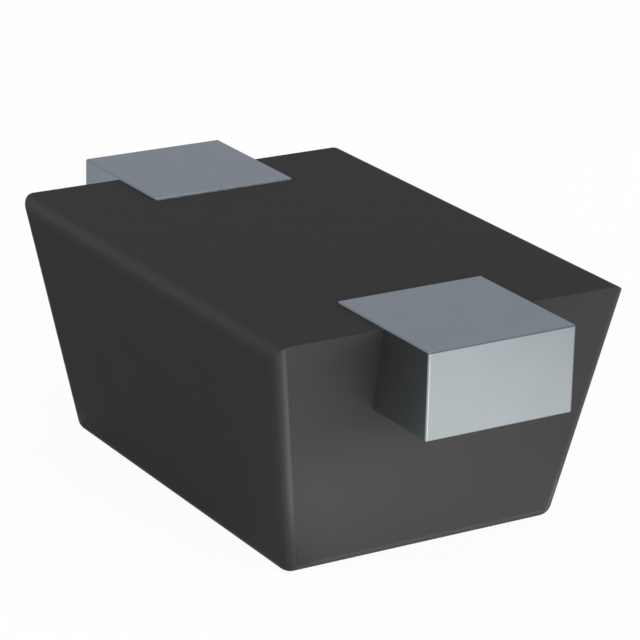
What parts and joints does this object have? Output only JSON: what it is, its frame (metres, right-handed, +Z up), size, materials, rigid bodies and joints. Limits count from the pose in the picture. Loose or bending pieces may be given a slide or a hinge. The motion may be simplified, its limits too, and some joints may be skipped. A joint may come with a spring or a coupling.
{
  "type": "tvs diode",
  "caption": "Two-terminal surface-mount transient voltage suppressor diode, a drafted black moulded block with flat solder terminals, lying on its back with the board side up.",
  "frame": {"origin": "centre of the wide moulded face on the board side, which faces up; the part rests on the narrow face below it", "axes": "+X along the length towards the bond post terminal, +Y across the width, +Z up, the way both solder pads face"},
  "size_m": [0.001, 0.0006, 0.0004],
  "materials": {
    "moulding_compound": "fine matte",
    "plated_copper": "satin tin plating",
    "die_attach_solder": "satin",
    "silicon": "polished",
    "contact_metal": "satin",
    "gold": "polished"
  },
  "bodies": {
    "root": {"moulded_body": "moulding_compound", "bond_post_terminal": "plated_copper", "die_pad_terminal": "plated_copper", "die_attach_layer": "die_attach_solder", "silicon_die": "silicon", "die_contact_pad": "contact_metal", "bond_wire": "gold"}
  },
  "joints": []
}
